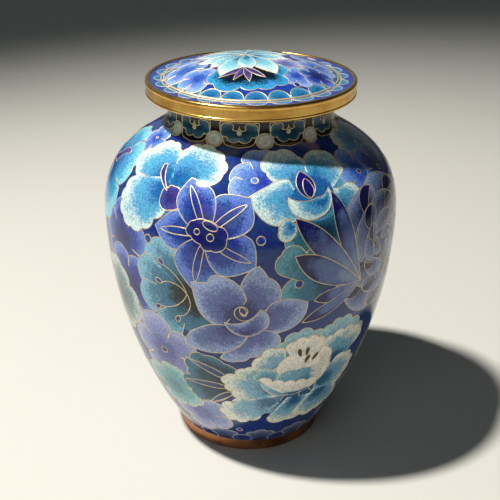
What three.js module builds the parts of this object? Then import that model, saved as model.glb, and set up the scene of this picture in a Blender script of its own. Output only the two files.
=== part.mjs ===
// A lidded cloisonne jar: an enamelled copper vessel on a bare copper foot ring, closed by a domed
// enamelled disc that sits in a turned brass band. Millimetres, +Z up. The origin is the centre of
// the underside of the foot ring.
import * as THREE from "three";

// Fineness of the turned forms: facets round the axis, and steps along each curved stretch.
const FACETS = 56;
const CURVE_STEPS = 8;
const FILLET_STEPS = 3;

// Foot ring
const FOOT_HEIGHT = 8.7;
const FOOT_BASE_RADIUS = 46.7;
const FOOT_FLARE = 0.4; // how much wider the ring is at its top
const FOOT_WALL = 3.2;
const FOOT_EDGE_ROUND = 0.8;

// Body, from the foot ring up to the mouth
const WALL = 2.6; // copper, with enamel on both faces
const FLOOR_OVERHANG = 1.3; // the enamelled skin stands proud of the foot ring all round
const LOWER_RISE = 148.3; // from the foot ring up to the widest place
const BELLY_RADIUS = 90.9;
const FLARE_ANGLE = THREE.MathUtils.degToRad(31); // of the lower wall where it leaves the foot
const FLARE_REACH = 53; // length of the lower wall's curve handles
const SHOULDER_RISE = 50; // from the widest place up to where the shoulder turns into the neck
const SHOULDER_REACH = 33.7;
const SHOULDER_ANGLE = THREE.MathUtils.degToRad(33); // of the shoulder above the horizontal
const SHOULDER_TAPER = 14;
const NECK_RADIUS = 50;
const NECK_SWEEP = 8; // width of the hollow curve between shoulder and neck
const NECK_RISE = 23; // from the shoulder's end up to the mouth
const NECK_STRAIGHT = 13; // the upright stretch of that
const LIP_FLARE = 0.6; // the neck opens this much towards the mouth

// Lid
const LID_BAND_RADIUS = 63.15;
const LID_BAND_DROP = 1.4; // the band hangs this far below the mouth
const LID_BAND_RISE = 7.5; // and stands this far above it
const LID_LIP_WIDTH = 2.6; // the band's rim round the enamel
const LID_LIP_ROUND = 1.2;
const LID_LEDGE_WIDTH = 2; // the shelf under the edge of the disc
const LID_WEB = 2; // thickness of the plate that rests on the mouth
const SPIGOT_DEPTH = 9; // of the collar that locates the lid in the neck
const SPIGOT_WALL = 2;
const SPIGOT_CLEARANCE = 0.5;
const DISC_THICKNESS = 2.4;
const DISC_CLEARANCE = 0.15;
const DISC_SINK = 0.7; // the disc's edge lies this far below the band's rim
const DISC_BORDER = 7; // the flat border outside the dome
const DOME_RISE = 11.2;
const DOME_FULLNESS = 2.6; // exponent of the dome's curve: 2 is a parabola

// Heights and radii that follow from those
const BELLY_Z = FOOT_HEIGHT + LOWER_RISE;
const SHOULDER_Z = BELLY_Z + SHOULDER_RISE;
const MOUTH_Z = SHOULDER_Z + NECK_RISE;
const FOOT_TOP_RADIUS = FOOT_BASE_RADIUS + FOOT_FLARE;
const BODY_BASE_RADIUS = FOOT_TOP_RADIUS + FLOOR_OVERHANG;
const MOUTH_RADIUS = NECK_RADIUS + LIP_FLARE;
const BAND_BOTTOM_Z = MOUTH_Z - LID_BAND_DROP;
const BAND_TOP_Z = MOUTH_Z + LID_BAND_RISE;
const DISC_RADIUS = LID_BAND_RADIUS - LID_LIP_WIDTH - DISC_CLEARANCE;
const DISC_TOP_Z = BAND_TOP_Z - DISC_SINK;
const LEDGE_Z = DISC_TOP_Z - DISC_THICKNESS;

const copper = new THREE.MeshStandardMaterial({ color: 0x8a5024, roughness: 0.45, metalness: 1 });
const brass = new THREE.MeshStandardMaterial({ color: 0xc58a3c, roughness: 0.32, metalness: 1 });
const blueEnamel = new THREE.MeshStandardMaterial({ color: 0x3a55b0, roughness: 0.12, metalness: 0 });
const lidEnamel = new THREE.MeshStandardMaterial({ color: 0x3f62c4, roughness: 0.12, metalness: 0 });

const at = (radius, height) => new THREE.Vector2(radius, height);

// A closed profile of (radius, height) points, anticlockwise, turned about +Z.
function turned(name, profile, material) {
  const geometry = new THREE.LatheGeometry(profile, FACETS);
  geometry.rotateX(Math.PI / 2);
  const mesh = new THREE.Mesh(geometry, material);
  mesh.name = name;
  return mesh;
}

// Points of a quarter-round from one point to another, about the corner that they cut off.
function rounded(from, corner, to) {
  return new THREE.QuadraticBezierCurve(from, corner, to).getPoints(FILLET_STEPS);
}

function footRing() {
  const inner = FOOT_TOP_RADIUS - FOOT_WALL;
  const round = FOOT_EDGE_ROUND;
  const outerEdge = rounded(
    at(FOOT_BASE_RADIUS - round, 0),
    at(FOOT_BASE_RADIUS, 0),
    at(FOOT_BASE_RADIUS, round),
  );
  const profile = [
    at(inner, 0),
    ...outerEdge,
    at(FOOT_TOP_RADIUS, FOOT_HEIGHT),
    at(inner, FOOT_HEIGHT),
    at(inner, 0),
  ];
  return turned("foot_ring", profile, copper);
}

// The body's outer face from the floor up to the mouth: a flaring lower wall, a full shoulder,
// a hollow sweep into the neck and a slightly opening lip.
function bodyOutline() {
  const lower = new THREE.CubicBezierCurve(
    at(BODY_BASE_RADIUS, FOOT_HEIGHT),
    at(
      BODY_BASE_RADIUS + FLARE_REACH * Math.sin(FLARE_ANGLE),
      FOOT_HEIGHT + FLARE_REACH * Math.cos(FLARE_ANGLE),
    ),
    at(BELLY_RADIUS, BELLY_Z - FLARE_REACH),
    at(BELLY_RADIUS, BELLY_Z),
  );
  const shoulderEnd = at(NECK_RADIUS + NECK_SWEEP, SHOULDER_Z);
  const shoulder = new THREE.CubicBezierCurve(
    at(BELLY_RADIUS, BELLY_Z),
    at(BELLY_RADIUS, BELLY_Z + SHOULDER_REACH),
    at(
      shoulderEnd.x + SHOULDER_TAPER * Math.cos(SHOULDER_ANGLE),
      shoulderEnd.y - SHOULDER_TAPER * Math.sin(SHOULDER_ANGLE),
    ),
    shoulderEnd,
  );
  const neckBase = at(NECK_RADIUS, MOUTH_Z - NECK_STRAIGHT);
  const sweepCorner = at(NECK_RADIUS, SHOULDER_Z + NECK_SWEEP * Math.tan(SHOULDER_ANGLE));
  const sweep = rounded(shoulderEnd, sweepCorner, neckBase);
  return [
    ...lower.getPoints(CURVE_STEPS),
    ...shoulder.getPoints(CURVE_STEPS).slice(1),
    ...sweep.slice(1),
    at(MOUTH_RADIUS, MOUTH_Z),
  ];
}

// The inner face is the outer one moved in by the wall's thickness, square to the surface.
function offsetInwards(outline, distance) {
  return outline.map((point, i) => {
    const before = outline[Math.max(i - 1, 0)];
    const after = outline[Math.min(i + 1, outline.length - 1)];
    const along = after.clone().sub(before).normalize();
    return at(point.x - distance * along.y, point.y + distance * along.x);
  });
}

function jarBody() {
  const outside = bodyOutline();
  const floorTop = FOOT_HEIGHT + WALL;
  const inside = offsetInwards(outside, WALL)
    .filter((point) => point.y > floorTop + WALL && point.y < MOUTH_Z - WALL)
    .reverse();
  const floorRadius = BODY_BASE_RADIUS - WALL;
  const profile = [
    at(0, FOOT_HEIGHT),
    ...outside,
    at(MOUTH_RADIUS - WALL, MOUTH_Z),
    ...inside,
    at(floorRadius, floorTop),
    at(0, floorTop),
  ];
  return turned("jar_body", profile, blueEnamel);
}

// The dome's height above its border at a given radius.
function domeLift(radius) {
  const share = radius / (DISC_RADIUS - DISC_BORDER);
  return share >= 1 ? 0 : DOME_RISE * (1 - Math.pow(share, DOME_FULLNESS));
}

function lidDisc() {
  const domeRadius = DISC_RADIUS - DISC_BORDER;
  const radii = Array.from({ length: CURVE_STEPS + 1 }, (_, i) => (domeRadius * i) / CURVE_STEPS);
  const face = (height) => radii.map((radius) => at(radius, height + domeLift(radius)));
  const profile = [
    ...face(LEDGE_Z),
    at(DISC_RADIUS, LEDGE_Z),
    at(DISC_RADIUS, DISC_TOP_Z),
    ...face(DISC_TOP_Z).reverse(),
  ];
  return turned("lid_disc", profile, lidEnamel);
}

// The turned brass part of the lid: the band round the disc, the ledge that carries it, the web that
// rests on the mouth and the collar that hangs inside the neck.
function lidBand() {
  const lipInner = LID_BAND_RADIUS - LID_LIP_WIDTH;
  const ledgeInner = lipInner - LID_LEDGE_WIDTH;
  const spigotOuter = MOUTH_RADIUS - WALL - SPIGOT_CLEARANCE;
  const spigotInner = spigotOuter - SPIGOT_WALL;
  const round = LID_LIP_ROUND;
  const lowerEdge = rounded(
    at(LID_BAND_RADIUS - round, BAND_BOTTOM_Z),
    at(LID_BAND_RADIUS, BAND_BOTTOM_Z),
    at(LID_BAND_RADIUS, BAND_BOTTOM_Z + round),
  );
  const upperEdge = rounded(
    at(LID_BAND_RADIUS, BAND_TOP_Z - round),
    at(LID_BAND_RADIUS, BAND_TOP_Z),
    at(LID_BAND_RADIUS - round, BAND_TOP_Z),
  );
  const profile = [
    at(spigotInner, MOUTH_Z - SPIGOT_DEPTH),
    at(spigotOuter, MOUTH_Z - SPIGOT_DEPTH),
    at(spigotOuter, MOUTH_Z),
    at(ledgeInner, MOUTH_Z),
    at(ledgeInner, BAND_BOTTOM_Z),
    ...lowerEdge,
    ...upperEdge,
    at(lipInner, BAND_TOP_Z),
    at(lipInner, LEDGE_Z),
    at(ledgeInner, LEDGE_Z),
    at(ledgeInner, MOUTH_Z + LID_WEB),
    at(spigotInner, MOUTH_Z + LID_WEB),
    at(spigotInner, MOUTH_Z - SPIGOT_DEPTH),
  ];
  return turned("lid_band", profile, brass);
}

const jar = new THREE.Group();
jar.name = "cloisonne_jar";
jar.add(footRing(), jarBody(), lidBand(), lidDisc());

export default jar;
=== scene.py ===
"""The looks of a lidded cloisonne jar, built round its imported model.

The enamel is one closed skin whose triangles follow the outlines of the cells, so each cell carries
its own colours. The wires between the cells are thin raised ribbons of their own. Art is laid out on
flat charts in millimetres: the body's chart is conformal, with x round the jar and y up its wall
from the widest place, and the lid's chart is its plan."""
import math

import bpy
import numpy as np
from mathutils import Matrix, Vector, kdtree
from mathutils.geometry import delaunay_2d_cdt


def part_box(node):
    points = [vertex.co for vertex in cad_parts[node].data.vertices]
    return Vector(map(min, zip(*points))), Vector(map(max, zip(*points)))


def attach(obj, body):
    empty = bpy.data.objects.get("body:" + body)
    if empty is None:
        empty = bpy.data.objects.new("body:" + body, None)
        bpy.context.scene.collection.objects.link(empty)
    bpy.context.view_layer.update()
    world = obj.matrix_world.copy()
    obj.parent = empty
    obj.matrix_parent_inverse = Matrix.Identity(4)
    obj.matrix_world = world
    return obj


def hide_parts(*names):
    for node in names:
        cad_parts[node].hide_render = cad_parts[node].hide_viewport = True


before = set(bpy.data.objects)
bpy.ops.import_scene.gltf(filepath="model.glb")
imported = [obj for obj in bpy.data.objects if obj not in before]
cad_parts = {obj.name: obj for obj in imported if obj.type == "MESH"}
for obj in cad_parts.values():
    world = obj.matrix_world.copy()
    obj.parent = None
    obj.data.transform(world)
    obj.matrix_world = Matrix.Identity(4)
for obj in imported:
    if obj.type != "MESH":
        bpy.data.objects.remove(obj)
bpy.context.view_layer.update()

MM = 0.001

# Fineness of the meshes, in chart millimetres unless it says otherwise
SAMPLE = 0.3          # spacing of the points that outlines are worked out with
GRID = 2.3            # spacing of the enamel's inner points
CLEARANCE = 0.9       # inner points keep this far from the wires
CHORD_ERROR = 0.035   # how far a simplified outline may leave the true one
LONGEST = 2.2         # longest piece of a simplified outline
EDGE = 0.5            # cell outlines and wires stop this far inside the enamel's edges
HALVINGS = 6          # in the search for the place where a cell starts to cover a line
CHUNK = 4000          # points tested at a time
ROUND_STEPS = 256     # steps round the turned pieces and the edges of the enamel
ROUND_ANGLES = np.arange(ROUND_STEPS) / ROUND_STEPS * 2 * math.pi - math.pi
WALL_STEPS = 900      # points of the body's outer profile
LINING_STEPS = 60     # points of its inner one
DOME_STEPS = 120      # points of the lid's
UNDER_LID_RINGS = 30
ROW_SHARE = 0.866     # height of a row of triangles for each of its sides
RIM_SECTORS = 72      # directions in which a cell's rim is measured from its heart
TINY = 1e-6           # lengths below this are none
CDT_MARGIN = 1e-5     # how near two points of the plane are one
HOLE_SHARE = 0.99995  # of the inner edge, inside which triangles are dropped
SAME_POINT = 0.05     # profile points this close, in real millimetres, are one
FACING = 0.05         # least share of a face's normal that counts as its direction
PARTED = 0.5          # cosine of the angle from which a corner takes its face's normal
TURNED_SHARP = math.radians(35)

# Wires, in real millimetres
WIRE_WIDTH = 0.6
WIRE_PROUD = 0.07
WIRE_SUNK = 0.06
WIRE_TOP = 0.62       # width of a wire's top as a share of its width
WIDEST_MITRE = 1.8    # most that a wire widens at a bend
WIRE_SHARP = math.radians(70)
FINE_WIRE = 0.4       # width of the wires of the flower of many petals
NOTCH = 6             # length of the wires that run into a petal from its rim
ROOT_CUT = 9          # a lobed petal's side wires cover one part in this many of its way back

COLOUR_LAYERS = ("heart_colour", "middle_colour", "rim_colour")

# Enamel palettes: the colour at a cell's heart, halfway and at its rim
PALETTES = {
    "ground": ((0.08, 0.13, 0.36), (0.11, 0.23, 0.50), (0.20, 0.37, 0.68)),
    "black": ((0.02, 0.02, 0.03), (0.03, 0.03, 0.05), (0.04, 0.04, 0.09)),
    "snow": ((0.12, 0.38, 0.62), (0.33, 0.63, 0.79), (0.82, 0.91, 0.89)),
    "sky": ((0.10, 0.34, 0.58), (0.24, 0.56, 0.74), (0.48, 0.80, 0.86)),
    "lily": ((0.08, 0.10, 0.38), (0.15, 0.24, 0.58), (0.40, 0.53, 0.82)),
    "magnolia": ((0.22, 0.24, 0.47), (0.40, 0.45, 0.68), (0.64, 0.71, 0.87)),
    "periwinkle": ((0.19, 0.32, 0.68), (0.37, 0.52, 0.81), (0.57, 0.69, 0.90)),
    "lavender": ((0.36, 0.39, 0.64), (0.54, 0.57, 0.78), (0.70, 0.72, 0.86)),
    "moss": ((0.09, 0.12, 0.12), (0.25, 0.47, 0.58), (0.51, 0.73, 0.82)),
    "fern": ((0.05, 0.07, 0.08), (0.14, 0.26, 0.34), (0.28, 0.50, 0.60)),
    "teal": ((0.08, 0.24, 0.36), (0.20, 0.47, 0.58), (0.42, 0.69, 0.76)),
    "violet": ((0.19, 0.18, 0.44), (0.24, 0.23, 0.52), (0.28, 0.28, 0.58)),
    "navy": ((0.07, 0.08, 0.36), (0.08, 0.11, 0.40), (0.10, 0.14, 0.46)),
    "ink_tip": ((0.56, 0.62, 0.77), (0.37, 0.46, 0.69), (0.06, 0.08, 0.34)),
    "ink": ((0.05, 0.06, 0.27), (0.06, 0.08, 0.31), (0.08, 0.11, 0.37)),
    "smoke": ((0.16, 0.21, 0.47), (0.42, 0.49, 0.68), (0.60, 0.67, 0.80)),
    "bone": ((0.17, 0.38, 0.55), (0.50, 0.70, 0.80), (0.95, 0.95, 0.89)),
    "shade": ((0.18, 0.41, 0.56), (0.36, 0.60, 0.71), (0.62, 0.80, 0.84)),
    "ivory": ((0.42, 0.64, 0.74), (0.88, 0.88, 0.84), (0.99, 0.95, 0.89)),
    "slate": ((0.12, 0.12, 0.30), (0.26, 0.32, 0.50), (0.42, 0.50, 0.66)),
    "pearl": ((0.80, 0.82, 0.78), (0.84, 0.86, 0.82), (0.62, 0.66, 0.64)),
    "jade": ((0.26, 0.54, 0.58), (0.44, 0.70, 0.72), (0.68, 0.84, 0.82)),
    "sage": ((0.12, 0.20, 0.22), (0.36, 0.50, 0.52), (0.74, 0.80, 0.78)),
    "lappet": ((0.05, 0.20, 0.28), (0.08, 0.28, 0.38), (0.14, 0.40, 0.50)),
    "lid_ground": ((0.09, 0.15, 0.46), (0.14, 0.27, 0.60), (0.21, 0.36, 0.70)),
    "lid_teal": ((0.10, 0.36, 0.56), (0.16, 0.44, 0.64), (0.24, 0.54, 0.72)),
    "night_leaf": ((0.01, 0.01, 0.02), (0.04, 0.10, 0.16), (0.22, 0.60, 0.80)),
    "frost": ((0.08, 0.38, 0.58), (0.48, 0.77, 0.85), (0.86, 0.94, 0.93)),
    "mauve": ((0.16, 0.12, 0.34), (0.28, 0.22, 0.48), (0.38, 0.32, 0.58)),
}


# Lines and outlines on a chart

def unit(degrees):
    return np.array([math.cos(math.radians(degrees)), math.sin(math.radians(degrees))])


def line(*points):
    """Points close together along straight stretches."""
    points = [np.array(p, float) for p in points]
    found = []
    for a, b in zip(points, points[1:]):
        count = max(1, int(math.dist(a, b) / SAMPLE))
        found.append(a + (b - a) * np.linspace(0, 1, count, endpoint=False)[:, None])
    return np.vstack(found + [points[-1][None]])


def arc(a, b, bulge):
    """Points from a to b on an arc that swells to the right of the way by bulge times the chord."""
    if abs(bulge) < 0.01:
        return line(a, b)
    a, b = np.array(a, float), np.array(b, float)
    chord = math.dist(a, b)
    along = (b - a) / chord
    right = np.array([along[1], -along[0]])
    half = 2 * math.atan(2 * bulge)
    radius = chord / 2 / math.sin(half)
    count = max(4, int(abs(2 * half * radius) / SAMPLE))
    turn = np.linspace(-half, half, count)[:, None]
    middle = a + along * chord / 2
    return middle + along * radius * np.sin(turn) + right * radius * (np.cos(turn) - math.cos(half))


def arcs(*corners):
    """A closed outline of arcs: each corner is x, y and the bulge of the arc to the next corner."""
    following = corners[1:] + corners[:1]
    return np.vstack([arc(a[:2], b[:2], a[2])[:-1] for a, b in zip(corners, following)])


def crescent(a, b, outer, inner):
    """Two arcs, from a to b and back, that swell to the same side."""
    return arcs((*a, outer), (*b, -inner))


def oval(centre, width, height=None, turn=0):
    height = height or width
    count = max(10, int(math.pi * (width + height) / 2 / SAMPLE))
    angle = np.linspace(0, 2 * math.pi, count, endpoint=False)[:, None]
    across, up = unit(turn) * width / 2, unit(turn + 90) * height / 2
    return np.array(centre) + across * np.cos(angle) + up * np.sin(angle)


def spiral(centre, width, turns=1.6, turn=0.0):
    angle = np.linspace(0, turns * 2 * math.pi, 90)
    radius = width / 2 * (0.12 + 0.88 * angle / angle[-1])
    angle = angle + math.radians(turn)
    return np.array(centre) + np.stack([radius * np.cos(angle), radius * np.sin(angle)], 1)


def blade(base, angle, length, width, tip=1.0, root=0.8, belly=0.5, bend=0.0):
    """A petal or leaf along its midline. tip and root set how its ends close: 0.5 is round, 1
    pointed and more than 1 drawn out. bend moves the tip sideways, as a share of the length."""
    count = max(12, int(1.4 * length / SAMPLE))
    share = (1 - np.cos(np.linspace(0, math.pi, count))) / 2
    outer = np.clip((share - belly) / (1 - belly), 0, 1)
    inner = np.clip((belly - share) / belly, 0, 1)
    half = width / 2 * np.where(share > belly, (1 - outer**2) ** tip, (1 - inner**2) ** root)
    middle = bend * length * share**2
    along, left = unit(angle), unit(angle + 90)
    midline = np.array(base) + np.outer(share * length, along)
    right_side = midline + np.outer(middle - half, left)
    left_side = midline + np.outer(middle + half, left)
    return np.vstack([right_side, left_side[::-1][1:-1]])


def fan_edge(centre, angle, spread, reach, lobes, swell=0.26, droop=0.16):
    """The scalloped outer edge of a fan-shaped petal, anticlockwise, and its corner points."""
    corners = [
        np.array(centre) + unit(angle + spread / 2 * x) * reach * (1 - droop * abs(x) ** 2.5)
        for x in np.linspace(-1, 1, lobes + 1)
    ]
    parts = [arc(a, b, swell) for a, b in zip(corners, corners[1:])]
    return np.vstack([p[:-1] for p in parts[:-1]] + [parts[-1]]), corners


class Art:
    """Enamel cells, each lying over those before it, and the wires that bound or cross them."""

    def __init__(self):
        self.cells = []
        self.wires = []
        self.place(0, 0)

    def place(self, x, y, turn=0, size=1, mirrored=False):
        """Where the next motif goes: its origin, its turn in degrees, its size and handedness."""
        across = unit(turn) * size * (-1 if mirrored else 1)
        self.axes = np.array([across, unit(turn + 90) * size])
        self.origin = np.array([x, y], float)
        self.size = size

    def placed(self, points):
        return self.origin + np.asarray(points, float) @ self.axes

    def cell(self, outline, palette, heart=None, reach=None, wired=True, width=None):
        """heart is where the palette starts. It ends at the rim, or at reach from the heart."""
        outline = np.asarray(outline, float)
        if heart is None:
            heart = outline.mean(0)
        self.cells.append({
            "outline": self.placed(outline), "palette": palette, "heart": self.placed(heart),
            "reach": reach and reach * self.size,
        })
        if wired:
            self.wire(np.vstack([outline, outline[:1]]), width)

    def wire(self, points, width=None, seated=False):
        """A wire on top of the cells so far. The skin has an edge of its own under a seated one."""
        self.wires.append({"points": self.placed(points), "level": len(self.cells),
                           "width": width or WIRE_WIDTH, "seated": seated})

    def ring(self, centre, width, palette):
        self.cell(oval(centre, width), palette)

    def petal(self, base, angle, length, width, palette, heart=None, wire_width=None, **shape):
        outline = blade(base, angle, length, width, **shape)
        self.cell(outline, palette, base if heart is None else heart, width=wire_width)

    def fan(self, centre, angle, spread, reach, lobes, palette, cut=0.3, inner=0.12, **edge):
        """A scalloped petal. Its sides carry wires only for the outer share cut of their length."""
        rim, corners = fan_edge(centre, angle, spread, reach, lobes, **edge)
        centre = np.array(centre, float)
        first, last = corners[0], corners[-1]
        roots = [centre + (corner - centre) * inner for corner in (last, first)]
        sides = [line(last, roots[0]), line(roots[0], roots[1]), line(roots[1], first)]
        self.cell(np.vstack([rim[:-1]] + [side[:-1] for side in sides]), palette, centre, wired=False)
        first_cut = first + (centre - first) * cut
        last_cut = last + (centre - last) * cut
        self.wire(np.vstack([line(first_cut, first)[:-1], rim[:-1], line(last, last_cut)]))

    def lobed(self, rim, root, palette, heart=None, swell=0.34, notches=()):
        """A petal with a rim of equal lobes, corner to corner anticlockwise, closed by way of root.
        Its sides carry wires for a short way only, and a short wire runs in from each notch."""
        rim_line = np.vstack([arc(a, b, swell)[:-1] for a, b in zip(rim, rim[1:])] + [[rim[-1]]])
        back = line(rim[-1], *root, rim[0])
        self.cell(np.vstack([rim_line[:-1], back[:-1]]), palette, heart or root[0], wired=False)
        cut = len(back) // ROOT_CUT
        self.wire(np.vstack([back[-1 - cut:-1], rim_line, back[1:cut + 1]]))
        for number in notches:
            corner = np.array(rim[number], float)
            inward = np.array(heart or root[0]) - corner
            self.wire(line(corner, corner + inward / np.hypot(*inward) * NOTCH))


# Motifs. Each is drawn round its own origin, in chart millimetres.

def fans(art, petals, palette, heart=0.8):
    """Scalloped petals round the origin: angle, spread, reach and lobes each, the last on top."""
    nearest = min(p[2] for p in petals)
    art.cell(oval((0, 0), 2 * heart * nearest), palette, (0, 0), reach=nearest, wired=False)
    for angle, spread, reach, lobes in petals:
        art.fan((0, 0), angle, spread, reach, lobes, palette)


def poppy(art):
    """Three broad petals with lobed rims round a deep heart."""
    art.cell(oval((4, 2), 44, 40), "snow", (4, 0), reach=48, wired=False)
    for heart, notch, root, rim in (
        ((4, 0), 2, [(-2, 4), (12, -6)],
         [(25, 5), (38, 15), (36, 28), (26, 38), (10, 41), (-2, 35), (-4, 22)]),
        ((2, 0), 2, [(-6, -4), (2, 6)],
         [(-4, 22), (-10, 32), (-22, 36), (-33, 31), (-37, 21), (-43, 17), (-43, 9), (-36, 3), (-22, 0)]),
        ((2, 0), 3, [(8, -4), (-8, 4)],
         [(-22, 0), (-31, -3), (-34, -12), (-34, -20), (-29, -28), (-20, -32), (-10, -30), (-2, -22),
          (5, -14)]),
    ):
        art.lobed(rim, root, "snow", heart, swell=0.24, notches=(notch,))


def bud(art):
    """A dark bud with a long hooked tail, its origin where the tail leaves it."""
    art.cell(arcs((0, 0, 0.1), (-1, -7, 0.3), (8, -14, 0.1), (14, -11, 0.1), (13, -3, 0.2), (6, 1, 0.3),
                  (2, -1, 0.0)), "violet")
    art.cell(arcs((2, -3, 0.0), (1, -1, -0.06), (-9, 15, 0.6), (-12, 13, 0.1), (-8, 5, 0.04)), "violet")


def white_flower(art, low_petal=True):
    """A wide flower with round petals, a dark upright bud and a curled bowl in front."""
    art.cell(oval((2, -2), 50, 44), "snow", (1, -2), reach=46, wired=False)
    if low_petal:
        art.cell(arcs((16, -6, 0), (20, -38, 0.1), (32, -40, 0.2), (36, -20, 0.3), (29, -5, -0.1)), "snow",
                 heart=(14, -20))
    art.lobed([(31, 2), (33, 12), (27, 26), (4, 14)], [(4, 2), (14, -8)], "snow", heart=(2, -4), swell=0.3)
    art.lobed([(4, 14), (2, 26), (-16, 34), (-28, 26), (-27, 12), (-15, 3)], [(-8, -6), (2, -2)], "snow",
              heart=(2, -6), swell=0.24)
    art.cell(arcs((-12, 5, 0.14), (-26, 2, 0.02), (-41, -7, 0.02), (-34, -18, 0.14), (-19, -24, 0.1),
                  (-8, -18, 0)), "snow", heart=(-2, -8))
    art.cell(arcs((-13, -8, 0.1), (-8, -22, 0.1), (14, -18, 0.1), (16, 0, 0.1), (0, 6, 0.1)), "snow",
             (2, -4), reach=60, wired=False)
    art.petal((-1, -10), 92, 21, 13, "navy", tip=0.9, root=0.7, belly=0.45)
    art.wire(blade((0, -9.5), 92, 14, 7, tip=0.7, root=0.6, belly=0.4))
    art.cell(arcs((-15, -8, 0.22), (-9, -21, 0.12), (2, -22, 0.22), (14, -5, -0.14), (4, -10, -0.12)), "snow",
             heart=(9, -12))
    art.cell(arcs((-17, -20, 0.2), (-23, -27, 0.35), (-17, -33, 0.2), (-13, -24, -0.1)), "snow",
             heart=(-14, -24))


LILY_PETALS = ((176, 33, 23, 0.05), (-108, 34, 28, 0.05), (-36, 33, 28, 0.08), (48, 35, 28, -0.08),
               (113, 39, 25, 0.05))


def lily(art, pod=True):
    """A flower of pointed petals, each with a narrow loop, round a seed pod or a round eye."""
    for angle, length, width, bend in LILY_PETALS:
        art.petal((0, 0), angle, length, width, "lily", tip=1.15, root=0.9, belly=0.58, bend=bend)
    for angle, length, width, bend in LILY_PETALS:
        loop = blade(unit(angle) * 5, angle, length * 0.72, 4.4, tip=0.75, root=0.4, belly=0.55,
                     bend=bend * 2)
        art.wire(loop)
    if not pod:
        art.ring((0, 0), 15, "navy")
        for k in range(5):
            art.ring(unit(72 * k) * 4.4, 3.2, "navy")
        return
    art.cell(arcs((-11, 5, 0.35), (-9, -1, 0.1), (-3, -5, 0.25), (3, -8, 0.3), (12, -1, 0.3), (7, 6, 0.1),
                  (0, 9, 0.12), (-8, 8, 0.2)), "navy")
    art.ring((-5.5, 2), 3.4, "navy")
    art.ring((2.5, -0.5), 4.2, "navy")
    art.cell(oval((2, 6), 9.5, 4.6, -22), "navy")


def magnolia(art):
    for corners in (
        [(-6, 9, 0), (0, 0, 0), (18, 6, 0.28), (14, 26, 0.05), (9, 33, 0.1), (3, 29, 0.05), (-2, 18, 0.08)],
        [(2, 11, 0.22), (-17, 26, 0.1), (-20, 21, 0), (-30, 20, 0.02), (-27, 4, 0.16), (-12, -8, 0)],
        [(4, -6, 0), (16, -12, 0.1), (24, -12, 0.2), (38, 7, 0.05), (26, 11, 0.2), (13, 3, 0)],
        [(0, -8, 0), (-15, -34, 0.14), (-3, -36, 0.18), (4, -32, 0.1), (19, -27, 0.3), (17, -11, 0)],
        [(4, -10, 0.06), (-9, -7, 0.1), (-28, -12, 0.12), (-38, -26, 0.1), (-12, -29, 0.14)],
    ):
        art.cell(arcs(*corners), "magnolia", heart=(0, -4))
    art.cell(oval((0, 1), 17, 15), "magnolia", (0, -4), reach=44, wired=False)
    art.wire(spiral((0, 3), 13, 1.3, 200))
    art.wire(oval((0, 3.4), 3.6, 6.4, 20))
    art.cell(arcs((-11, -5, 0.28), (11, -11, 0.3), (10, 5, -0.18)), "magnolia", heart=(2, -14))


def moss_leaf(art):
    """Round lobes about a dark heart, from which stamens spring."""
    art.cell(oval((3, -6), 34, 44), "moss", (3, -4), reach=30, wired=False)
    for angle, reach in [(104, 28), (134, 36), (164, 36), (196, 36), (234, 34)]:
        art.fan((3, 0), angle, 38, reach, 1, "moss", swell=0.34, droop=0.05)
    for x, y, swell in [(-15, 16, 0.12), (-17, 4, 0.2), (-20, -13, -0.15), (-7, -17, -0.25)]:
        art.wire(arc((0, 0), (x, y), swell))
        away = math.degrees(math.atan2(y, x))
        art.petal(np.array((x, y)) - unit(away) * 0.5, away, 5, 3.2, "violet", tip=0.5, belly=0.6)


def teal_leaf(art):
    art.fan((0, 0), 176, 40, 36, 1, "teal", swell=0.3, inner=0.3)
    art.fan((0, 0), 142, 30, 44, 2, "teal", swell=0.3, inner=0.2)
    art.ring((-24, 8), 5, "fern")


def plumes(art):
    """Long curved petals with dark tips that meet at one point."""
    for angle, length, width, bend in ((192, 35, 9, -0.1), (208, 45, 8.5, -0.07), (122, 62, 12, -0.26),
                                       (137, 67, 13.5, -0.05), (158, 54, 15, -0.12)):
        art.petal((0, 0), angle, length, width, "ink_tip", tip=0.9, root=1.15, belly=0.66, bend=bend)


MUM_RINGS = ((33, 7, 42, 26), (23, 6, 32, 19), (14, 5, 22, 13), (5, 3, 13, 9))


def chrysanthemum(art):
    """Incurved petals that chase each other in rings, each with a dark fold at its head."""
    start, shift, forward, inward = 199, 0.4, 96, 186
    art.cell(oval((0, 0), 72), "smoke", (0, 0), reach=60, wired=False)
    for number, (radius, count, length, width) in enumerate(MUM_RINGS):
        for k in range(count):
            angle = start + 360 * (k + shift * number) / count
            base = unit(angle) * radius
            ahead, right = unit(angle - forward), unit(angle - inward)
            head = base + ahead * 0.72 * length + right * 0.32 * length
            art.petal(base, angle - forward, length, width, "smoke", heart=head, tip=0.5, root=0.9,
                      belly=0.66, bend=-0.45, wire_width=FINE_WIRE)
            fold = base + ahead * 0.55 * length + right * 0.3 * length
            end = base + ahead * 0.96 * length + right * 0.5 * length
            art.cell(crescent(end, fold, 0.5, 0.06), "ink", width=FINE_WIRE)


BLOSSOM_REACHES = (1, 0.94, 1.05)   # of its petals in turn, as shares of its radius


def blossom(art, radius=20, palette="lavender", lobes=5, eye=0.2):
    art.cell(oval((0, 0), radius * 1.5), palette, (0, 0), reach=radius, wired=False)
    for k in range(lobes):
        reach = radius * BLOSSOM_REACHES[k % 3]
        art.fan((0, 0), 90 + 360 * k / lobes, 350 / lobes, reach, 1, palette, cut=0.4, swell=0.4, droop=0)
    if eye:
        art.ring((0, 0), radius * eye, "navy")


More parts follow.
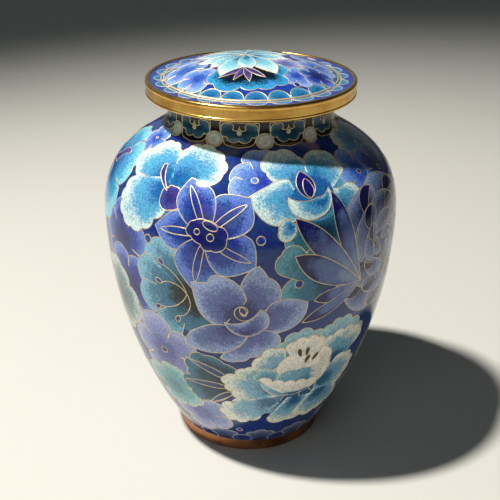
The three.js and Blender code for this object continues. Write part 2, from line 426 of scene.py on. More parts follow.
def peony(art):
    """A full peony seen from the side: spread petals below, a cup in front and a frilled crown."""
    art.cell(oval((-2, -22), 84, 60), "bone", (0, -22), reach=60, wired=False)
    # Behind the crown
    art.lobed([(12, 26), (2, 35), (-8, 36), (-16, 30), (-20, 22)], [(-4, 4), (6, 4)], "shade")
    art.lobed([(48, 18), (42, 27), (33, 34), (24, 38), (16, 36), (9, 30)], [(10, 6), (22, 2)], "shade")
    art.lobed([(49, 12), (46, 20), (38, 25), (28, 27), (19, 26), (11, 21)], [(14, 2), (28, -4)], "bone",
              heart=(24, 0))
    # The right and the far left
    art.lobed([(28, -36), (40, -33), (48, -25), (51, -14), (46, -4), (37, 2), (25, 0)], [(14, -8), (14, -26)],
              "bone", heart=(16, -16))
    art.lobed([(-15, 20), (-22, 25), (-30, 19), (-34, 7), (-30, 0)], [(-20, -4), (-14, 6)], "bone",
              heart=(-16, 2))
    art.lobed([(-33, 6), (-41, 8), (-47, 0), (-44, -8)], [(-24, -14), (-22, 0)], "bone", heart=(-20, -6))
    art.lobed([(-45, -2), (-55, 0), (-55, -9), (-50, -17), (-46, -25), (-36, -29)], [(-16, -24), (-24, -8)],
              "bone", heart=(-14, -14))
    # The spread petals below
    art.lobed([(-22, -56), (-4, -64), (14, -50)], [(12, -30), (-8, -28)], "bone", heart=(0, -28))
    art.lobed([(2, -50), (12, -61), (28, -62), (40, -56), (52, -50)], [(40, -28), (14, -26)], "bone",
              heart=(22, -28))
    art.lobed([(-39, -28), (-52, -31), (-60, -40), (-59, -51), (-50, -59), (-38, -58), (-28, -51)],
              [(-14, -34), (-22, -24)], "bone", heart=(-14, -26))
    # The cup and the petals that stand in it
    art.cell(arcs((-30, -8, 0.1), (-24, -18, 0.15), (-12, -24, 0.1), (4, -23, 0.12), (15, -15, 0.15),
                  (21, 0, 0.12), (19, 12, 0.1), (8, 20, 0.1), (-12, 14, 0.1)), "shade", heart=(0, -30))
    art.lobed([(-18, -2), (-24, 6), (-32, 4), (-34, -3)], [(-28, -8), (-20, -8)], "shade", heart=(-25, -7))
    art.lobed([(15, -14), (20, -5), (20, 5), (17, 17), (11, 19)], [(6, 4), (6, -10)], "ivory", heart=(2, -16),
              swell=0.2)
    art.cell(arcs((-17, 1, -0.15), (-5, 3, -0.15), (8, 1, 0.1), (12, 10, 0.1), (6, 18, 0.1), (-10, 18, 0.15),
                  (-19, 9, 0.2)), "ivory", heart=(-2, -10))
    art.lobed([(12, 24), (7, 29), (-1, 30), (-9, 29), (-15, 24)], [(-12, 18), (-3, 16), (9, 16)], "ivory",
              heart=(0, 4), swell=0.3)
    for x, y, turn in [(-4, 15, 104), (0, 15, 86), (0, 8, 74), (5, 9, 62)]:
        art.cell(blade((x, y), turn, 8, 3.4, tip=0.6, root=0.6, belly=0.6), "black")
    # The front frill and the wires that hang from it
    art.lobed([(-32, -3), (-22, -7), (-13, -10), (-4, -11), (5, -12), (14, -14)],
              [(12, -19), (0, -22), (-14, -21), (-24, -12)], "ivory", heart=(-4, -32), swell=-0.32)
    for x in (-13, -4, 5):
        art.wire(line((x, -11), (x + 0.6, -17)))
    for start, end in [((-8, -23), (-13, -31)), ((2, -23), (4, -31)), ((9, -20), (16, -28))]:
        art.wire(arc(start, end, 0.15))


LEAF_VEINS = ((-3, 3, 146, 28), (-3, -8, 172, 32), (1, -14, 214, 25))


def leaf_blades(art):
    """A dark scalloped leaf crossed by pale pointed veins."""
    art.cell(arcs((8, 8, 0.1), (-3, 17, 0.15), (-16, 22, 0.3), (-27, 17, 0.3), (-30, 6, 0.2), (-30, -1, 0.35),
                  (-36, -11, 0.3), (-32, -18, 0.3), (-31, -25, 0.3), (-20, -28, 0.1), (-8, -26, 0),
                  (8, -10, 0)), "fern", heart=(6, -6))
    for x, y, angle, length in LEAF_VEINS:
        art.petal((x, y), angle, length, 6, "slate", root=0.4, belly=0.3, bend=0.12)


def periwinkle_fans(art):
    fans(art, [(90, 70, 33, 2), (142, 60, 27, 1), (190, 60, 24, 1)], "periwinkle", heart=0.6)
    art.ring((-5, 4), 5, "periwinkle")


def hooked_flower(art):
    """A pale flower round a dark bud with a curled stem."""
    fans(art, [(30, 80, 34, 3), (-50, 76, 34, 3), (110, 76, 38, 3), (190, 80, 36, 3)], "sky", heart=0.6)
    art.cell(arcs((-16, -4, -0.1), (2, 2, -0.2), (12, 14, 0.4), (8, 17, 0.2), (-4, 8, 0.1)), "violet")
    art.cell(oval((-8, -8), 18, 12, 20), "fern")


def jade_cloud(art, palette="jade"):
    fans(art, [(150, 70, 26, 3), (60, 90, 26, 3), (-30, 90, 26, 3), (-110, 70, 26, 3)], palette, heart=0.6)


def dots(art, *places):
    for x, y, width in places:
        art.ring((x, y), width, "ground")


# The borders of the body

LAPPETS = 11
LAPPET_START = -11.9    # where the middle one in front lies
NECK_LINE = 87          # the black ground of the neck starts here
FOOT_CLOUDS = 14


def neck_border(art):
    """Cloud-shaped lappets on black, with a pale drop between each two."""
    step = body_chart.width / LAPPETS
    for k in range(LAPPETS):
        art.place(LAPPET_START + k * step, 0)
        art.cell(oval((step / 2, 93), 18, 16), "pearl")
    for k in range(LAPPETS):
        art.place(LAPPET_START + k * step, 0)
        art.cell(arcs((-20, 112, 0.1), (-17, 95, 0.2), (-8, 87.5, 0.08), (8, 87.5, 0.2), (17, 95, 0.1),
                      (20, 112, 0)), "black")
        art.cell(arcs((-12, 110, 0.35), (-19, 104, 0.4), (-13, 97, 0.3), (0, 93.5, 0.3), (13, 97, 0.4),
                      (19, 104, 0.35), (12, 110, 0.5), (7, 105, -0.4), (0, 108, -0.4), (-7, 105, 0.5)),
                 "lappet")
        art.ring((0, 101), 4.5, "pearl")
    art.place(0, 0)


def foot_border(art):
    """Low clouds round the foot."""
    step = body_chart.width / FOOT_CLOUDS
    for k in range(FOOT_CLOUDS):
        art.place((k + 0.3) * step, body_chart.low - 4, 90)
        art.fan((0, 0), 0, 84, 27, 3, "slate", swell=0.34, inner=0.3)
        art.place((k + 0.8) * step, body_chart.low, 90)
        art.cell(arcs((-1, -8, 0.4), (15, 0, 0.4), (-1, 8, 0)), "ground")
    art.place(0, 0)


# The body's layout: motif, its place round the jar and up the wall, its turn, size and handedness
FRONT_LAYOUT = [
    (periwinkle_fans, 8, 50),
    (poppy, 124, 66, 20, 0.8),
    ((blossom, 18, "periwinkle", 5), 86, 46, 10),
    ((blossom, 18, "lily", 5), 112, 40, 40),
    ((blossom, 15, "periwinkle", 5), -108, 74, 30),
    ((blossom, 20, "lily", 5, 0), -88, 0, 0),
    ((blossom, 20, "lily", 5, 0), -84, -28, 30),
    ((jade_cloud, "sage"), -104, -44, 20),
    (hooked_flower, -130, 34),
    (poppy, -58, 43),
    (bud, -58, 42),
    ((blossom, 19, "teal", 5, 0), 42, 15, 20),
    (white_flower, 39, 48),
    (teal_leaf, 52, -20),
    (moss_leaf, -37, -21),
    (lily, -25, 17),
    (chrysanthemum, 94, -4, 30),
    (plumes, 73, -21),
    ((blossom, 24, "lavender", 5), -62, -72, 10),
    (magnolia, -4, -32),
    ((blossom, 25, "lavender", 5, 0), -45, -141, 20),
    (jade_cloud, -66, -112),
    (leaf_blades, -14, -88),
    (peony, 38, -83),
    ((dots, (6, 16, 5), (28, -12, 5), (-10, -162, 6), (-63, 8, 5)), 0, 0),
]
BACK_LAYOUT = [
    ((blossom, 22, "periwinkle", 5), 150, 56, 0),
    ((blossom, 24, "lavender", 5), 140, -62, 30),
    (jade_cloud, 128, -100, 0),
    (poppy, 196, 42, 20, 1, True),
    ((lily, False), 150, 8, 60),
    (hooked_flower, 244, 40, 0, 1, True),
    (magnolia, 184, -34, 0, 1, True),
    (leaf_blades, 226, -90, 0, 1, True),
    (peony, 176, -100, 0, 0.9, True),
    ((blossom, 26, "periwinkle", 5), -196, 50, 20),
    ((white_flower, False), -240, 40, 0, 1, True),
    ((lily, False), -210, 2, 200),
    (moss_leaf, 232, -18, 180),
    (magnolia, -246, -42),
    ((blossom, 28, "lavender", 5), -164, -4, 0),
    (teal_leaf, -262, -8, 150),
    (chrysanthemum, 284, 6, 120),
    ((blossom, 22, "sky", 5), 276, -62, 0),
    (jade_cloud, -158, -50, 60),
    (leaf_blades, -200, -66, 180),
    ((blossom, 30, "sky", 6), -214, -104, 0),
    ((blossom, 26, "lavender", 5, 0), -150, -112, 40),
    ((blossom, 26, "periwinkle", 5), -262, -110, 10),
    ((jade_cloud, "slate"), 96, -142, 0),
    ((jade_cloud, "slate"), -106, -128, 0),
    ((dots, (206, 4, 5), (122, -20, 5), (-180, 20, 5), (-130, -80, 5)), 0, 0),
]

# The lid's layout, on its plan, with the photograph's side at negative y
SCALLOPS = 24
SCALLOP_START = 3.4     # degrees from the front to the first scallop's middle
SCALLOP_WIDTH = 12.9
SCALLOP_RADIUS = 51.6   # from the axis to the scallops' centres
RING_RADII = (51.9, 53.4)
RING_WIDTH = 1.35


def lid_border(art):
    for k in range(SCALLOPS):
        centre = unit(SCALLOP_START - 90 + 360 / SCALLOPS * k) * SCALLOP_RADIUS
        art.cell(oval(centre, SCALLOP_WIDTH), "lid_teal")
    for radius in RING_RADII:
        ring = oval((0, 0), 2 * radius)
        art.wire(np.vstack([ring, ring[:1]]), RING_WIDTH, seated=True)


def cloud_leaf(art):
    """A leaf of round lobes, black inside."""
    art.cell(arcs((-21, -24, 0.3), (-20, -36, 0.35), (-5, -41, 0.25), (5, -42, 0.25), (15, -38, 0.45),
                  (19, -27, 0.3), (14, -10, 0), (-14, -8, 0)), "night_leaf", heart=(-1, -22))


FROST_PETALS = ((100, 33, 13), (64, 32, 13), (136, 32, 14), (172, 32, 14), (20, 27, 13), (206, 31, 14),
                (-14, 26, 13), (228, 31, 13), (249, 40, 14), (-62, 38, 14), (-88, 31, 11))


def frost_lily(art):
    art.cell(oval((0, 0), 26), "frost", (0, 0), reach=30, wired=False)
    for angle, length, width in FROST_PETALS:
        art.petal((0, 0), angle, length, width, "frost", tip=1.2, root=0.8, belly=0.6)
    for angle, length, bend in ((225, 19, -0.14), (252, 17, -0.1), (277, 18, 0), (303, 17, 0.14)):
        art.petal((0, -26), angle, length, 4.2, "mauve", tip=1.0, root=0.5, belly=0.45, bend=bend)


LID_LAYOUT = [
    (lid_border, 0, 0),
    ((blossom, 11, "periwinkle", 5, 0), -38, -10, 0),
    ((blossom, 10, "periwinkle", 5, 0), -30, -26, 30),
    ((blossom, 10, "lavender", 5, 0), 20, -8, 10),
    ((blossom, 9, "periwinkle", 5, 0), 26, -24, 0),
    ((blossom, 10, "periwinkle", 5), 38, -2, 20),
    ((blossom, 9, "lily", 5, 0), 38, -17, 20),
    ((blossom, 12, "periwinkle", 5), 36, 20, 0),
    ((blossom, 12, "periwinkle", 5), -36, 16, 0),
    ((blossom, 10, "lavender", 5, 0), -26, 36, 0),
    ((blossom, 10, "lavender", 5, 0), 28, 38, 0),
    ((dots, (26, -34, 4), (-42, 30, 4), (0, 45.5, 4)), 0, 0),
    (cloud_leaf, -1, 8, 180, 0.9),
    (cloud_leaf, -1, 0),
    (frost_lily, -3, 8),
]


def lay_out(art, layout):
    for motif, *where in layout:
        drawing, *details = motif if isinstance(motif, tuple) else (motif,)
        art.place(*where)
        drawing(art, *details)
    art.place(0, 0)


# Profiles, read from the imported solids

def wall_points(node, facing):
    """The (radius, height) corners, in mm, of a node's faces whose outward normal passes the test."""
    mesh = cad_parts[node].data
    found = set()
    for face in mesh.polygons:
        centre = face.center
        away = Vector((centre.x, centre.y, 0)).normalized()
        if facing(face.normal.dot(away), face.normal.z):
            for index in face.vertices:
                co = mesh.vertices[index].co
                found.add((round(math.hypot(co.x, co.y) / MM, 3), round(co.z / MM, 3)))
    return sorted(found)


def merged(points, axis):
    """Points sorted along an axis, without near-repeats."""
    kept = []
    for p in sorted(points, key=lambda p: p[axis]):
        if not kept or math.dist(p, kept[-1]) > SAME_POINT:
            kept.append(p)
    return np.array(kept)


def smooth_curve(points, count):
    """A natural cubic spline through the points, by chord length."""
    points = np.asarray(points, float)
    knots = np.concatenate([[0], np.cumsum(np.hypot(*np.diff(points, axis=0).T))])
    steps = np.diff(knots)
    size = len(points)
    matrix = np.eye(size)
    for i in range(1, size - 1):
        matrix[i, i - 1:i + 2] = steps[i - 1], 2 * (steps[i - 1] + steps[i]), steps[i]
    slopes = np.diff(points, axis=0) / steps[:, None]
    sides = np.zeros_like(points)
    sides[1:-1] = 6 * np.diff(slopes, axis=0)
    bends = np.linalg.solve(matrix, sides)
    places = np.linspace(0, knots[-1], count)
    span = np.clip(np.searchsorted(knots, places) - 1, 0, size - 2)
    a, b = knots[span], knots[span + 1]
    step = (b - a)[:, None]
    from_a, to_b = (places - a)[:, None], (b - places)[:, None]
    bent = bends[span] * to_b**3 / (6 * step) + bends[span + 1] * from_a**3 / (6 * step)
    start = (points[span] / step - bends[span] * step / 6) * to_b
    end = (points[span + 1] / step - bends[span + 1] * step / 6) * from_a
    return bent + start + end


class Chart:
    """A flat chart of a turned wall."""

    def __init__(self, profile):
        self.profile = profile
        along = np.gradient(profile, axis=0)
        self.along = along / np.hypot(*along.T)[:, None]

    def wall(self, at, places):
        """The wall's radius and height, and its run outwards and upwards, at some values of what
        places holds for the profile's points."""
        return [np.interp(at, places, row) for row in (*self.profile.T, *self.along.T)]


class BodyChart(Chart):
    """The conformal chart of the body's outer wall, and its plane image, an annulus without seam."""

    winding = -1
    around = np.stack([np.sin(ROUND_ANGLES), -np.cos(ROUND_ANGLES)], 1)

    def __init__(self, profile):
        super().__init__(profile)
        steps = np.hypot(*np.diff(profile, axis=0).T)
        middles = (profile[1:, 0] + profile[:-1, 0]) / 2
        climb = np.concatenate([[0], np.cumsum(steps / middles)])
        self.radius = profile[:, 0].max()
        belly = profile[:, 0].argmax()
        self.y = (climb - climb[belly]) * self.radius
        self.low, self.high = self.y[0], self.y[-1]
        self.width = 2 * math.pi * self.radius

    def plane(self, points):
        angle, scale = points[:, 0] / self.radius, np.exp(points[:, 1] / self.radius)
        return np.stack([scale * np.cos(angle), scale * np.sin(angle)], 1)

    def unplane(self, flat):
        scale = np.hypot(*flat.T)
        angle = np.arctan2(flat[:, 1], flat[:, 0])
        return np.stack([angle, np.log(scale)], 1) * self.radius

    def chart_size(self, flat):
        """Chart millimetres for each unit of the plane."""
        return self.radius / np.hypot(*flat.T)

    def surface(self, points):
        """Places and normals, in real millimetres."""
        angle = points[:, 0] / self.radius
        radius, height, out, rise = self.wall(points[:, 1], self.y)
        length = np.hypot(rise, out)
        around = np.stack([np.sin(angle), -np.cos(angle)], 1)
        place = np.column_stack([around * radius[:, None], height])
        normal = np.column_stack([around * (rise / length)[:, None], -out / length])
        return place, normal

    def offset(self, points, start):
        """From start to the points, the short way round."""
        across = points[:, 0] - start[0]
        across = (across + self.width / 2) % self.width - self.width / 2
        return np.stack([across, points[:, 1] - start[1]], 1)

    def covers(self, points):
        return (points[:, 1] > self.low + EDGE) & (points[:, 1] < self.high - EDGE)

    def edges(self):
        """The closed lines round the chart's two edges, the outer one of the plane first."""
        across = np.arange(ROUND_STEPS) / ROUND_STEPS * self.width - self.width / 2
        return [np.stack([across, np.full(ROUND_STEPS, y)], 1) for y in (self.high, self.low)]

    def grid(self):
        rows = int((self.high - self.low) / (GRID * ROW_SHARE))
        columns = round(self.width / GRID)
        points = []
        for row in range(1, rows):
            y = self.low + (self.high - self.low) * row / rows
            across = (np.arange(columns) + 0.5 * (row % 2)) / columns * self.width - self.width / 2
            points.append(np.stack([across, np.full(columns, y)], 1))
        return np.vstack(points)


class LidChart(Chart):
    """The plan of the lid's disc, in real millimetres."""

    winding = 1
    around = np.stack([np.cos(ROUND_ANGLES), np.sin(ROUND_ANGLES)], 1)

    def __init__(self, profile):
        super().__init__(profile)
        self.radius = profile[-1, 0]

    def plane(self, points):
        return points / self.radius

    def unplane(self, flat):
        return flat * self.radius

    def chart_size(self, flat):
        return np.full(len(flat), self.radius)

    def surface(self, points):
        radius = np.hypot(*points.T)
        _, height, out, rise = self.wall(radius, self.profile[:, 0])
        around = points / np.maximum(radius, TINY)[:, None]
        place = np.column_stack([points, height])
        normal = np.column_stack([around * -rise[:, None], out])
        normal /= np.linalg.norm(normal, axis=1)[:, None]
        return place, normal

    def offset(self, points, start):
        return points - start

    def covers(self, points):
        return np.hypot(*points.T) < self.radius - EDGE

    def edges(self):
        return [self.around * self.radius]

    def grid(self):
        count = int(2 * self.radius / GRID)
        rows, columns = np.mgrid[-count:count + 1, -count:count + 1]
        x = (columns + 0.5 * (rows % 2)) * GRID
        y = rows * GRID * ROW_SHARE
        points = np.stack([x.ravel(), y.ravel()], 1)
        return points[np.hypot(*points.T) < self.radius - CLEARANCE]


# From art to meshes

def inside(points, polygon):
    """Which points lie in a closed polygon."""
    found = np.zeros(len(points), bool)
    low, high = polygon.min(0), polygon.max(0)
    near = np.flatnonzero(np.all((points >= low) & (points <= high), axis=1))
    ax, ay = polygon.T
    bx, by = np.roll(polygon, -1, axis=0).T
    level = ay == by
    slope = (bx - ax) / np.where(level, 1, by - ay)
    for first in range(0, len(near), CHUNK):
        some = near[first:first + CHUNK]
        x, y = points[some, 0][:, None], points[some, 1][:, None]
        spans = ((ay > y) != (by > y)) & ~level
        left = x < slope * (y - ay) + ax
        found[some] = (spans & left).sum(1) % 2 == 1
    return found


def simplified(points, tolerance=CHORD_ERROR):
    """The fewest of the points that stay within the tolerance, none further apart than LONGEST."""
    keep = np.zeros(len(points), bool)
    keep[[0, -1]] = True
    stack = [(0, len(points) - 1)]
    while stack:
        i, j = stack.pop()
        if j <= i + 1:
            continue
        a, b = points[i], points[j]
        chord = b - a
        length = math.hypot(*chord)
        between = points[i + 1:j] - a
        if length < TINY:
            off = np.hypot(*between.T)
        else:
            off = np.abs(between[:, 0] * chord[1] - between[:, 1] * chord[0]) / length
        k = int(off.argmax())
        if off[k] > tolerance:
            split = i + 1 + k
        elif length > LONGEST:
            split = (i + j) // 2
        else:
            continue
        keep[split] = True
        stack += [(i, split), (split, j)]
    return points[keep]


class Layers:
    """The art's cells on the plane, for telling which cell is on top where."""

    def __init__(self, art, chart):
        self.chart = chart
        self.polygons = []
        for cell in art.cells:
            outline = cell["outline"]
            closed = simplified(np.vstack([outline, outline[:1]]), CHORD_ERROR / 2)[:-1]
            self.polygons.append(chart.plane(closed))
        self.lows = np.array([p.min(0) for p in self.polygons])
        self.highs = np.array([p.max(0) for p in self.polygons])

    def over(self, low, high, level):
        """The cells from a level up whose box meets a box."""
        meets = np.all((self.lows <= high) & (self.highs >= low), axis=1)
        return [i for i in np.flatnonzero(meets) if i >= level]

    def hidden(self, points, level):
        flat = self.chart.plane(points)
        found = ~self.chart.covers(points)
        for i in self.over(flat.min(0), flat.max(0), level):
            found |= inside(flat, self.polygons[i])
        return found

    def shown_runs(self, points, level):
        """The stretches of a line that no cell from a level up covers, cut where it is covered."""
        hidden = self.hidden(points, level)
        if hidden.all():
            return []
        closed = math.dist(points[0], points[-1]) < TINY
        if closed and hidden.any():
            start = int(hidden.argmax())
            points = np.vstack([points[start:-1], points[:start + 1]])
            hidden = np.concatenate([hidden[start:-1], hidden[:start + 1]])
        runs = []
        for run in np.split(np.arange(len(points)), np.flatnonzero(np.diff(hidden)) + 1):
            first, last = run[0], run[-1]
            if hidden[first]:
                continue
            stretch = points[first:last + 1]
            if first > 0:
                stretch = np.vstack([self.crossing(points[first], points[first - 1], level), stretch])
            if last + 1 < len(points):
                stretch = np.vstack([stretch, self.crossing(points[last], points[last + 1], level)])
            runs.append(stretch)
        return [r for r in runs if np.hypot(*np.diff(r, axis=0).T).sum() > SAMPLE]

    def crossing(self, shown, covered, level):
        """A point just past the place where a covering cell starts, between two points."""
        near, far = np.array(shown, float), np.array(covered, float)
        for _ in range(HALVINGS):
            middle = (near + far) / 2
            if self.hidden(middle[None], level)[0]:
                far = middle
            else:
                near = middle
        return far

    def top(self, flat):
        found = np.full(len(flat), -1)
        for i, polygon in enumerate(self.polygons):
            found[inside(flat, polygon)] = i
        return found


def enamel_skin(art, chart):
    """The skin's chart points, its triangles and each triangle's cell."""
    layers = Layers(art, chart)
    flat, links = [], []

    def add(points, closed=False):
        start = sum(map(len, flat))
        flat.append(chart.plane(points))
        count = len(points)
        links.extend((start + i, start + i + 1) for i in range(count - 1))
        if closed:
            links.append((start + count - 1, start))

    for edge in chart.edges():
        add(edge, closed=True)
    for level, cell in enumerate(art.cells):
        outline = cell["outline"]
        for run in layers.shown_runs(np.vstack([outline, outline[:1]]), level + 1):
            add(simplified(run))
    for wire in art.wires:
        if wire["seated"]:
            for run in layers.shown_runs(wire["points"], wire["level"]):
                add(simplified(run))
    fixed = np.vstack(flat)
    tree = kdtree.KDTree(len(fixed))
    for i, (x, y) in enumerate(fixed):
        tree.insert((x, y, 0), i)
    tree.balance()
    grid = chart.grid()
    spread = chart.plane(grid)
    sizes = chart.chart_size(spread)
    far = [tree.find((x, y, 0))[2] * s > CLEARANCE for (x, y), s in zip(spread, sizes)]
    points = np.vstack([fixed, spread[far]])
    result = delaunay_2d_cdt([Vector(p) for p in points], links, [], 0, CDT_MARGIN)
    places = np.array([tuple(v) for v in result[0]])
    triangles = np.array([f for f in result[2] if len(f) == 3])
    middles = places[triangles].mean(1)
    if len(chart.edges()) > 1:
        hole = np.hypot(*chart.plane(chart.edges()[1]).T).min() * HOLE_SHARE
        triangles = triangles[np.hypot(*middles.T) > hole]
        middles = places[triangles].mean(1)
    turned = np.cross(places[triangles[:, 1]] - places[triangles[:, 0]],
                      places[triangles[:, 2]] - places[triangles[:, 0]])
    triangles[turned < 0] = triangles[turned < 0][:, ::-1]
    used = np.unique(triangles)
    return places[used], np.searchsorted(used, triangles), layers.top(middles)


def rim_radius(outline_offsets):
    """How far the rim lies from the heart in each direction."""
    angle = np.arctan2(outline_offsets[:, 1], outline_offsets[:, 0])
    place = ((angle + math.pi) / (2 * math.pi) * RIM_SECTORS).astype(int) % RIM_SECTORS
    reach = np.zeros(RIM_SECTORS)
    np.maximum.at(reach, place, np.hypot(*outline_offsets.T))
    known = reach > 0
    centres = np.arange(RIM_SECTORS) + 0.5
    return centres, np.interp(centres, centres[known], reach[known], period=RIM_SECTORS)


def cell_shares(cell, chart, points):
    """0 at the cell's heart, 1 at its rim."""
    offsets = chart.offset(points, cell["heart"])
    away = np.hypot(*offsets.T)
    if cell["reach"] == math.inf:
        return np.full(len(points), 0.5)
    if cell["reach"]:
        return np.clip(away / cell["reach"], 0, 1)
    centres, reach = rim_radius(chart.offset(cell["outline"], cell["heart"]))
    angle = (np.arctan2(offsets[:, 1], offsets[:, 0]) + math.pi) / (2 * math.pi) * len(centres)
    return np.clip(away / np.interp(angle, centres, reach, period=len(centres)), 0, 1)


def linear(colour):
    """A screen colour as the renderer's linear one."""
    c = np.array(colour)
    return np.where(c <= 0.04045, c / 12.92, ((c + 0.055) / 1.055) ** 2.4)


def linked(name, data):
    """A new object in the scene."""
    made = bpy.data.objects.new(name, data)
    bpy.context.scene.collection.objects.link(made)
    return made


def new_object(name, vertices, faces, materials):
    """A smooth mesh object, from vertices in millimetres."""
    mesh = bpy.data.meshes.new(name)
    mesh.from_pydata((np.array(vertices) * MM).tolist(), [], [list(map(int, face)) for face in faces])
    for material in materials:
        mesh.materials.append(material)
    mesh.polygons.foreach_set("use_smooth", [True] * len(mesh.polygons))
    mesh.update()
    return linked(name, mesh)


class Shell:
    """The vertices, normals and faces of a closed piece, to which rings are added one by one."""

    def __init__(self, vertices, normals, faces, around):
        self.vertices, self.normals, self.faces = list(vertices), list(normals), list(faces)
        self.around = around

    def ring(self, previous, radius, height, normal, flipped=False):
        """A ring of vertices, and the faces that join the previous ring to it."""
        start = len(self.vertices)
        for x, y in self.around:
            self.vertices.append(np.array([x * radius, y * radius, height]))
            self.normals.append(np.array([x * normal[0], y * normal[0], normal[1]]))
        added = range(start, start + ROUND_STEPS)
        lower, upper = (added, previous) if flipped else (previous, added)
        for i in range(ROUND_STEPS):
            j = (i + 1) % ROUND_STEPS
            self.faces.append((lower[i], lower[j], upper[j], upper[i]))
        return added

    def cap(self, rim, height, up):
        start = len(self.vertices)
        self.vertices.append(np.array([0, 0, height]))
        self.normals.append(np.array([0, 0, 1.0 if up else -1.0]))
        for i, a in enumerate(rim):
            b = rim[(i + 1) % ROUND_STEPS]
            self.faces.append((start, a, b) if up else (start, b, a))


def set_corner_normals(mesh, normals):
    """Each corner takes its vertex's normal, or its face's where the two are far apart."""
    corner_vertices = np.empty(len(mesh.loops), int)
    mesh.loops.foreach_get("vertex_index", corner_vertices)
    sizes = np.empty(len(mesh.polygons), int)
    mesh.polygons.foreach_get("loop_total", sizes)
    faces = np.empty(3 * len(mesh.polygons), np.float32)
    mesh.polygons.foreach_get("normal", faces)
    of_faces = np.repeat(faces.reshape(-1, 3), sizes, axis=0)
    of_vertices = normals[corner_vertices]
    apart = (of_faces * of_vertices).sum(1) < PARTED
    mesh.normals_split_custom_set(np.where(apart[:, None], of_faces, of_vertices).tolist())


def enamel_piece(name, art, chart, lining, ground, materials):
    """A closed piece: the enamelled skin, and a lining of rings that joins its edges."""
    flat, triangles, cell_of = enamel_skin(art, chart)
    charted = chart.unplane(flat)
    place, normal = chart.surface(charted)
    triangles = triangles[:, ::chart.winding]
    shell = Shell(place, normal, triangles, chart.around)
    lining(shell)
    piece = new_object(name, shell.vertices, shell.faces, materials)
    mesh = piece.data
    colours = np.ones((3, len(mesh.loops), 4))
    share = np.full(len(mesh.loops), 0.5)
    colours[:, :, :3] = linear(PALETTES[ground])[:, None]
    corner_points = charted[triangles.ravel()]
    for i, cell in enumerate(art.cells):
        mine = np.flatnonzero(np.repeat(cell_of == i, 3))
        if len(mine):
            share[mine] = cell_shares(cell, chart, corner_points[mine])
            colours[:, mine, :3] = linear(PALETTES[cell["palette"]])[:, None]
    for label, colour in zip(COLOUR_LAYERS, colours):
        layer = mesh.attributes.new(label, "FLOAT_COLOR", "CORNER")
        layer.data.foreach_set("color", colour.astype(np.float32).ravel())
    layer = mesh.attributes.new("share", "FLOAT", "CORNER")
    layer.data.foreach_set("value", share.astype(np.float32))
    slots = np.zeros(len(mesh.polygons), np.int32)
    slots[len(triangles):] = len(materials) - 1
    mesh.polygons.foreach_set("material_index", slots)
    set_corner_normals(mesh, np.array(shell.normals))
    return piece


def wire_piece(name, art, chart, material):
    """All the art's wires where they show, as closed ribbons a little proud of the enamel."""
    layers = Layers(art, chart)
    vertices, faces = [], []
    for wire in art.wires:
        for run in layers.shown_runs(wire["points"], wire["level"]):
            add_ribbon(vertices, faces, simplified(run), chart, wire["width"])
    piece = new_object(name, vertices, faces, [material])
    piece.data.set_sharp_from_angle(angle=WIRE_SHARP)
    return piece


def add_ribbon(vertices, faces, points, chart, width):
    closed = len(points) > 3 and math.dist(points[0], points[-1]) < 1e-4
    if closed:
        points = points[:-1]
    place, normal = chart.surface(points)
    before = np.roll(place, 1, axis=0)
    after = np.roll(place, -1, axis=0)
    if not closed:
        before[0], after[-1] = place[0], place[-1]
    arriving = place - before
    leaving = after - place
    for ways in (arriving, leaving):
        length = np.linalg.norm(ways, axis=1)[:, None]
        ways /= np.maximum(length, 1e-9)
    if not closed:
        arriving[0], leaving[-1] = leaving[0], arriving[-1]
    along = arriving + leaving
    size = np.linalg.norm(along, axis=1)[:, None]
    widen = np.clip(2 / np.maximum(size, 0.1), 1, WIDEST_MITRE)
    along /= np.maximum(size, 1e-9)
    side = np.cross(normal, along)
    side /= np.maximum(np.linalg.norm(side, axis=1)[:, None], 1e-9)
    side *= widen * width / 2
    proud = WIRE_PROUD * width / WIRE_WIDTH
    start = len(vertices)
    for s, n, p in zip(side, normal, place):
        top, sunk = s * WIRE_TOP, n * WIRE_SUNK
        vertices += [p - s - sunk, p - top + n * proud, p + top + n * proud, p + s - sunk]
    count = len(points)
    for i in range(count if closed else count - 1):
        a, b = start + 4 * i, start + 4 * ((i + 1) % count)
        faces += [(a, b, b + 1, a + 1), (a + 1, b + 1, b + 2, a + 2), (a + 2, b + 2, b + 3, a + 3),
                  (a + 3, b + 3, b, a)]
    if not closed:
        last = start + 4 * (count - 1)
        faces += [(start, start + 1, start + 2, start + 3), (last + 3, last + 2, last + 1, last)]


# Materials

